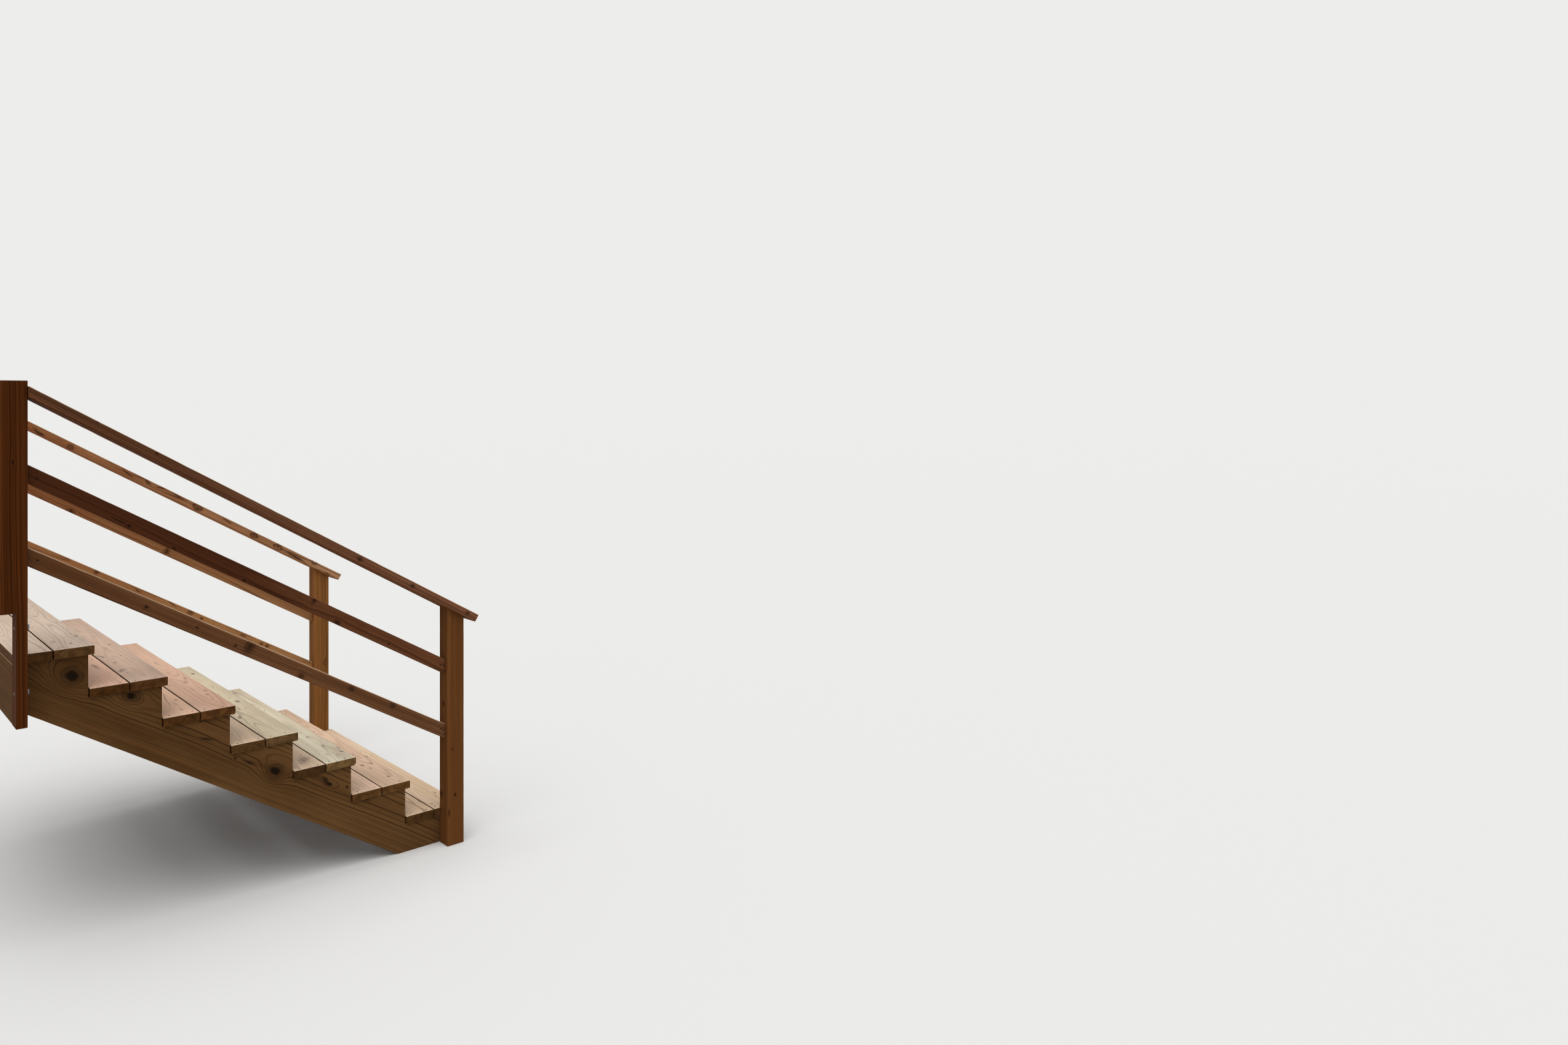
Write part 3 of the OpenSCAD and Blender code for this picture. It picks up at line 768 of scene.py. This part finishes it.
# Boards whose looks differ from those of their kind, by their numbers and by their marks. Places are along
# and across the board. A knot has its place, its radius, the way that its branch runs and how dark its heart
# is. A stain or spot has its place, length, width and turn in degrees, and a stain the axis that it lies
# across. A crack has a line of places, its width, its depth and its side of the board, and a nail hole its
# place and radius. A chip has its reach along the board's axes, and the corner that it is off.
OWN_LOOKS = {
    "tread_1_front": dict(
        smudge=0.1, line=0.62,
        knots=[(-0.213, -0.047, 0.0045, "z", 0.6), (-0.387, -0.06, 0.0045, "z", 0.5),
        (-0.598, -0.05, 0.0055, "z", 0.6), (-0.747, -0.006, 0.005, "z", 0.5)],
        spots=[(-0.598, -0.05, 0.04, 0.014, 0), (-0.747, -0.006, 0.036, 0.012, 10)]),
    "tread_2_back": dict(smudge=0.12, spots=[(-0.439, -0.03, 0.15, 0.018, 0)]),
    "tread_2_front": dict(
        spots=[(-0.414, 0.035, 0.03, 0.016, 0), (0.015, -0.033, 0.036, 0.014, 0),
        (-0.6, 0.049, 0.075, 0.026, 25), (-0.237, 0.056, 0.07, 0.02, -20)]),
    "tread_3_back": dict(
        pith=(-0.025, -0.004), smudge=0.12,
        spots=[(-0.568, -0.047, 0.04, 0.014, 0), (-0.755, -0.023, 0.03, 0.012, 0)],
        cracks=[([(-0.404, -0.036), (-0.45, -0.029), (-0.505, -0.019), (-0.56, -0.012), (-0.622, -0.008),
        (-0.672, -0.002)], 0.0022, 0.006, 1), ([(-0.585, -0.02), (-0.625, -0.026),
        (-0.668, -0.029)], 0.0014, 0.004, 1)],
        chips=[((0.012, 0.004, 0.005), (1, 1, 1))]),
    "tread_3_front": dict(
        spots=[(-0.489, -0.048, 0.034, 0.014, 0), (-0.568, -0.034, 0.04, 0.012, 0),
        (-0.733, -0.027, 0.026, 0.012, 0), (-0.179, -0.047, 0.044, 0.014, 0)]),
    "tread_4_back": dict(smudge=0.12),
    "tread_4_front": dict(
        line=0.5,
        knots=[(0.093, -0.005, 0.005, "z", 0.6), (-0.011, -0.022, 0.006, "z", 0.7),
        (-0.108, -0.034, 0.009, "z", 0.6), (-0.414, 0.047, 0.008, "z", 0.5),
        (0.659, -0.034, 0.008, "z", 0.7)],
        spots=[(-0.108, -0.032, 0.07, 0.02, 0), (-0.252, 0.004, 0.07, 0.012, 0),
        (-0.414, 0.047, 0.06, 0.018, 10), (0.659, -0.034, 0.06, 0.018, 0)]),
    "tread_5_back": dict(spots=[(-0.563, 0.005, 0.11, 0.05, 0), (-0.72, -0.02, 0.12, 0.05, 20)]),
    "tread_5_front": dict(
        line=0.5,
        knots=[(0.344, -0.016, 0.0045, "z", 0.6), (-0.718, -0.052, 0.0055, "z", 0.7)],
        spots=[(-0.377, -0.017, 0.04, 0.016, 0), (-0.575, -0.02, 0.06, 0.014, 10),
        (-0.718, -0.052, 0.044, 0.012, -10), (-0.654, -0.062, 0.05, 0.012, 0)],
        chips=[((0.02, 0.012, 0.011), (-1, -1, -1))]),
    "tread_6_front": dict(
        knots=[(0.742, -0.023, 0.0055, "z", 0.8), (-0.472, 0.013, 0.006, "z", 0.6),
        (-0.724, -0.016, 0.0055, "z", 0.8)],
        spots=[(-0.472, 0.013, 0.05, 0.016, 0), (-0.537, -0.001, 0.04, 0.012, 10),
        (-0.724, -0.016, 0.04, 0.014, 0), (-0.351, -0.061, 0.05, 0.012, 0)]),
    "tread_7_front": dict(spots=[(-0.639, -0.033, 0.04, 0.012, 0), (-0.688, -0.015, 0.03, 0.01, 0)]),
    "right_stringer": dict(
        side=(76, 49, 24), side_2=(103, 73, 42), lengthwise=0.8,
        knots=[(-0.918, 0.046, 0.03, "z", 1.0), (-0.675, 0.062, 0.019, "z", 1.0),
        (0.056, -0.002, 0.026, "z", 1.0), (-0.14, -0.014, 0.004, "z", 1.0)],
        stains=[(-0.3, 0.016, 0.06, 0.014, -15, "z"), (-0.073, -0.008, 0.06, 0.014, 0, "z"),
        (0.302, 0.038, 0.064, 0.026, 24, "z"), (0.415, 0.05, 0.022, 0.016, 0, "z"),
        (0.53, 0.037, 0.055, 0.022, 0, "z"), (-0.365, 0.072, 0.02, 0.012, 0, "z")],
        cracks=[([(0.281, 0.049), (0.304, 0.036), (0.328, 0.028), (0.355, 0.021)], 0.0016, 0.003, 1),
        ([(0.362, 0.021), (0.395, 0.019), (0.425, 0.019), (0.452, 0.022)], 0.0018, 0.003, 1),
        ([(-0.52, 0.01), (-0.469, -0.002), (-0.425, -0.001), (-0.382, 0.002), (-0.35, 0.007),
        (-0.322, 0.013)], 0.0016, 0.0014, 1), ([(-0.28, 0.02), (-0.25, 0.02), (-0.215, 0.018),
        (-0.19, 0.019)], 0.002, 0.0016, 1)],
        nails=[(-0.139, -0.01, 0.002), (-0.114, -0.047, 0.002), (-0.325, 0.09, 0.0016),
        (-0.268, 0.106, 0.0016)]),
    "left_stringer": dict(
        knots=[(-0.7, 0.02, 0.02, "z", 0.9), (0.2, -0.04, 0.016, "z", 0.9), (0.74, 0.03, 0.013, "z", 0.6)]),
    "inner_stringer_1": dict(knots=[(-0.35, 0.01, 0.018, "z", 0.9), (0.42, -0.05, 0.014, "z", 0.7)]),
    "inner_stringer_2": dict(knots=[(-0.8, -0.03, 0.013, "z", 0.7), (0.05, 0.03, 0.02, "z", 0.9)]),
    "hanger_board": dict(knots=[(-0.52, 0.03, 0.014, "z", 0.9), (0.31, -0.05, 0.017, "z", 0.6)]),
    # The right railing's dark side colours, posts included, hold painted shade as well as the stain
    "right_cap_rail": dict(
        side=(89, 55, 35), side_2=(112, 73, 51), lengthwise=1.2, ring=0.0056, line=0.4, side_line=1.0,
        streak=1.7, pith=(0.05, -0.09), under=(0.9, 0.58, 0.08, 1),
        knots=[(-0.841, 0.016, 0.0045, "y", 0.9), (-0.591, 0.011, 0.0045, "y", 0.9),
        (0.409, -0.001, 0.009, "y", 0.85), (0.712, -0.001, 0.0075, "y", 0.85),
        (1.049, 0.003, 0.0075, "y", 0.7), (-0.3, 0.02, 0.009, "z", 0.8), (0.55, -0.03, 0.0075, "z", 0.8)]),
    "right_upper_rail": dict(
        ring=0.0048, line=0.45, top=(126, 86, 60), top_2=(112, 76, 52), wear=0.12, side=(71, 38, 20),
        side_2=(106, 66, 41), side_late=(34, 14, 6), lengthwise=1.7, middle=0.14, side_line=0.55,
        knots=[(-0.598, -0.018, 0.0055, "z", 1.0), (-0.4, -0.024, 0.0045, "z", 0.6),
        (-0.073, -0.025, 0.006, "z", 0.9), (0.252, 0.026, 0.009, "upright", 0.9),
        (0.402, -0.024, 0.01, "z", 0.75), (0.687, -0.012, 0.0048, "z", 1.0)],
        stains=[(-0.64, -0.016, 0.07, 0.008, 0, "z")],
        chips=[((0.024, 0.008, 0.1), (1, 1, 1)), ((0.008, 0.01, 0.1), (1, -1, 1))]),
    "right_lower_rail": dict(
        side=(91, 57, 33), side_2=(110, 74, 48), lengthwise=0.8, ring=0.005, line=0.5, wander=0.02,
        side_line=0.95, streak=1.0, pith=(-0.06, -0.06),
        knots=[(-0.535, -0.002, 0.0065, "z", 0.9), (-0.31, 0.001, 0.0045, "z", 0.9),
        (-0.125, -0.007, 0.0045, "z", 0.9), (-0.068, 0.013, 0.0165, "upright", 0.7),
        (0.209, -0.02, 0.01, "z", 0.6), (0.459, 0.014, 0.008, "z", 0.6), (0.692, 0.016, 0.008, "z", 0.55)],
        chips=[((0.01, 0.005, 0.1), (1, 1, 1)), ((0.012, 0.014, 0.1), (1, -1, 1))]),
    "right_top_post": dict(
        side=(77, 38, 11), side_2=(68, 34, 10), side_late=(26, 9, 2), side_line=0.85,
        knots=[(0.36, -0.005, 0.004, "z", 0.9), (-0.3, -0.02, 0.004, "z", 0.9)]),
    "right_bottom_post": dict(
        side=(97, 58, 27), side_2=(102, 64, 32), ring=0.0032,
        knots=[(0.112, -0.001, 0.0095, "y", 0.8), (-0.35, 0.021, 0.01, "y", 0.8),
        (-0.348, -0.003, 0.0055, "z", 0.9), (-0.115, -0.017, 0.0035, "z", 0.5)],
        stains=[(-0.435, -0.037, 0.04, 0.012, 0, "z")]),
    # The left railing's side colours, posts included, are lighter and more orange than the right railing's:
    # painted bounce light from the pale treads, over the stain
    "left_cap_rail": dict(
        side=(125, 71, 36), side_2=(173, 131, 94), lengthwise=0.8, side_late=(64, 30, 16),
        knot=(36, 17, 10), pith=(-0.1, 0.004), ring=0.0056, line=0.62, wander=0.045, side_line=0.8,
        years=0.9,
        knots=[(-0.563, -0.006, 0.011, "y", 0.45), (0.16, -0.004, 0.0105, "y", 0.85),
        (0.514, 0.005, 0.0095, "y", 0.8), (0.676, 0.004, 0.009, "y", 0.85), (0.92, 0.014, 0.012, "y", 0.1),
        (-0.05, 0.03, 0.01, "z", 0.7), (0.62, -0.02, 0.008, "z", 0.8)],
        stains=[(-0.725, -0.01, 0.07, 0.02, 12, "y"), (-0.255, 0.002, 0.07, 0.012, 10, "y"),
        (-0.14, 0.006, 0.05, 0.014, 20, "y"), (-0.065, 0.011, 0.06, 0.01, -15, "y"),
        (0.34, 0.006, 0.08, 0.009, 8, "y"), (0.8, -0.01, 0.12, 0.014, 0, "y"),
        (1.03, -0.012, 0.05, 0.012, 0, "y")]),
    "left_upper_rail": dict(
        side=(130, 82, 50), side_2=(148, 105, 68), side_late=(76, 38, 19), knot=(44, 20, 10),
        lengthwise=1.2, ring=0.0042, side_line=0.7,
        knots=[(-0.458, -0.024, 0.01, "z", 0.85), (0.074, -0.009, 0.0125, "upright", 0.8)]),
    "left_lower_rail": dict(
        side=(150, 100, 62), side_2=(168, 121, 78), side_late=(86, 48, 24), knot=(54, 28, 15),
        lengthwise=1.2, pith=(0.02, -0.06), ring=0.006, line=0.55, wander=0.04,
        knots=[(-0.346, 0.021, 0.009, "z", 0.8), (0.2, 0.022, 0.009, "z", 0.7),
        (0.272, 0.013, 0.006, "z", 0.8), (0.657, 0.013, 0.007, "z", 0.8), (0.694, 0.014, 0.008, "z", 0.9)],
        stains=[(-0.11, 0.016, 0.06, 0.008, 10, "z"), (0.09, 0.022, 0.07, 0.007, 14, "z"),
        (0.537, 0.016, 0.04, 0.012, 0, "z")]),
    "left_bottom_post": dict(
        side=(140, 92, 49), side_2=(134, 88, 43), lengthwise=-0.8, side_line=0.55, ring=0.0038,
        wander=0.016, knot=(96, 58, 28),
        knots=[(0.005, 0.022, 0.0095, "z", 0.15)])}

STRINGERS = ("right_stringer", "inner_stringer_1", "inner_stringer_2", "left_stringer")


def varied(look, rng, node, **changes):
    """Look of one board: its own stretch of wood, with the marks and colours that are listed for it."""
    made = dict(look, shift=tuple(rng.uniform(-40, 40) for axis in range(3)), **changes)
    made.update(OWN_LOOKS.get(node, {}))
    for name in COLOURS:
        made[name] = tone(*made[name])
    return made


def end_checks(size, rng, count):
    """Thin cracks that run in from a board's ends."""
    cracks = []
    for k in range(count):
        end = rng.choice((-1, 1))
        y = rng.uniform(-0.36, 0.36) * size.y
        length = rng.uniform(0.02, 0.07)
        drift = rng.uniform(-0.003, 0.003)
        start = size.x / 2 + length * 0.5
        points = [(end * (start - length * 1.5 * s), y + drift * s) for s in (0, 0.3, 0.55, 0.8, 1.0)]
        width, depth = rng.uniform(0.0007, 0.0013), rng.uniform(0.003, 0.007)
        cracks.append((points, width, depth, rng.choice((1, 1, -1))))
    return cracks


def tread_screws(node, size, rng):
    """Two screws over each stringer."""
    front = "front" in node
    places = []
    for stringer in STRINGERS:
        low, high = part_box(stringer)
        for inset in (GAP_INSET - size.y / 2, size.y / 2 - (FRONT_INSET if front else BACK_INSET)):
            x = (low.y + high.y) / 2 + rng.uniform(-STRAY_ALONG, STRAY_ALONG)
            y = (-inset if front else inset) + rng.uniform(-STRAY_ACROSS, STRAY_ACROSS)
            places.append(screw_place(x, y, size.z / 2))
    return places


def make_treads(rng):
    """Both boards of each tread, as the places of their screws."""
    places = []
    for node, (first, second, late, line, ring, end) in TREADS.items():
        look = varied(TREAD_LOOK, rng, node, top=first, top_2=second, top_late=late, top_line=line, ring=ring,
                      end=end, pith=(rng.uniform(-0.04, 0.04), -rng.uniform(0.05, 0.11)),
                      drift=(rng.uniform(-0.01, 0.01), rng.uniform(-0.018, 0.018)))
        size = axes_of(node, LEFT, -DOWN)[1]
        look["cracks"] = look["cracks"] + end_checks(size, rng, rng.choice((0, 1, 1, 2)))
        places += dress(node, LEFT, -DOWN, look, holes=tread_screws(node, size, rng))
    return places


def cap_screws(node, post):
    """Two screws through a cap rail into the head of the post that it covers."""
    matrix, size = axes_of(node, DOWN_RAIL, LEFT)
    low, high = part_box(post)
    centre = matrix.inverted() @ Vector(((low.x + high.x) / 2, (low.y + high.y) / 2, high.z))
    return [screw_place(centre.x, centre.y + aside, size.z / 2) for aside in CAP_SCREWS]


def toe_screws(size, rng, out):
    """Screws near both ends of a rail, two of them at its foot, driven at a slant through its outer face."""
    places = []
    for x in (HEAD_INSET - size.x / 2, *(size.x / 2 - inset for inset in FOOT_INSETS)):
        place = screw_place(x + rng.uniform(-0.001, 0.001), rng.uniform(-0.004, 0.004), out * size.z / 2)
        slant = Matrix.Rotation(math.copysign(rng.uniform(0.05, 0.15), -x), 4, "Y")
        places.append(place @ slant @ Matrix.Rotation(rng.uniform(-0.06, 0.06), 4, "X"))
    return places


def make_railings(rng):
    """Posts, cap rails and middle rails of both sides, as the places of their screws."""
    places = []
    for side, out in (("right", 1), ("left", -1)):
        for kind in ("top_post", "bottom_post"):
            node = f"{side}_{kind}"
            dress(node, UP, DOWN, varied(POST_LOOK, rng, node))
        node = f"{side}_cap_rail"
        screws = cap_screws(node, f"{side}_bottom_post")
        places += dress(node, DOWN_RAIL, LEFT, varied(RAIL_LOOK, rng, node), holes=screws)
        for kind in ("upper_rail", "lower_rail"):
            node = f"{side}_{kind}"
            size = axes_of(node, DOWN_RAIL, OVER_RAIL)[1]
            places += dress(node, DOWN_RAIL, OVER_RAIL, varied(RAIL_LOOK, rng, node),
                            holes=toe_screws(size, rng, out))
    return places


def make_stringers(rng):
    """Stringers and the board that they hang on, as the places of the board's screws."""
    for node in STRINGERS:
        dress(node, DOWN_STAIR, OVER_STAIR, varied(STRINGER_LOOK, rng, node))
    size = axes_of("hanger_board", LEFT, UP)[1]
    screws = [screw_place(x, y, size.z / 2) for x, y in HANGER_SCREWS]
    look = varied(STRINGER_LOOK, rng, "hanger_board")
    return dress("hanger_board", LEFT, UP, look, holes=screws)


rng = random.Random(41)
SCREW_STEEL = steel("screw_steel", tone(30, 18, 11), tone(27, 15, 9), 0.6, 0.0, 0.1)
BOLT_STEEL = steel("bolt_steel", tone(128, 133, 140), tone(104, 86, 70), 0.4, 0.7, 0.5)
screw_heads("tread_screws", make_treads(rng), SCREW_STEEL, rng)
screw_heads("hanger_screws", make_stringers(rng), SCREW_STEEL, rng)
screw_heads("rail_screws", make_railings(rng), SCREW_STEEL, rng)
for side in ("right", "left"):
    bolts = nodes[f"{side}_post_bolts"]
    bolts.data.materials.clear()
    bolts.data.materials.append(BOLT_STEEL)

# Floor, just under the flight's feet
floor_mesh = bmesh.new()
bmesh.ops.create_grid(floor_mesh, x_segments=2, y_segments=2, size=FLOOR_SIZE)
floor_material, floor_graph, floor_shader = new_material("floor")
floor_graph.fill(floor_shader, {"Base Color": (0.72, 0.715, 0.70, 1), "Roughness": 0.9})
floor = to_object(floor_mesh, "floor", floor_material, Matrix.Translation((0, 0, cad_low.z - FLOOR_GAP)))

# Soft light from all round, and a pale background
world = bpy.data.worlds.new("world")
world.use_nodes = True
bpy.context.scene.world = world
sky = Graph(world.node_tree)
background = world.node_tree.nodes["Background"]
path = sky.node("ShaderNodeLightPath").outputs
seen = sky.most(path["Is Glossy Ray"], path["Is Transmission Ray"], path["Is Camera Ray"])
sky.feed(sky.mix(seen, (0.98, 0.99, 1.0, 1), (0.846, 0.846, 0.834, 1)), background.inputs["Color"])
sky.feed(sky.line(seen, 0.5, 0.5), background.inputs["Strength"])

# Soft overhead light: a wide sun, so that the floor is evenly lit
lamp = bpy.data.lights.new("overhead", "SUN")
lamp.energy, lamp.angle = 2.2, math.radians(70)
overhead = bpy.data.objects.new("overhead", lamp)
overhead.rotation_euler = Vector((0.2, 0.3, -1.0)).to_track_quat("-Z", "Y").to_euler()
bpy.context.scene.collection.objects.link(overhead)

# Camera, where the photograph was taken from
camera = bpy.data.cameras.new("camera")
camera.lens, camera.sensor_width = 24.6155, 36.0
camera.shift_y = -0.0775
camera.clip_start, camera.clip_end = 0.05, 1000
eye = bpy.data.objects.new("camera", camera)
bpy.context.scene.collection.objects.link(eye)
eye.location = (-0.7356, -5.9852, 1.1566)
eye.rotation_euler = (math.radians(90), 0, math.radians(-43.891))
bpy.context.scene.camera = eye
bpy.context.scene.view_settings.view_transform = "Standard"
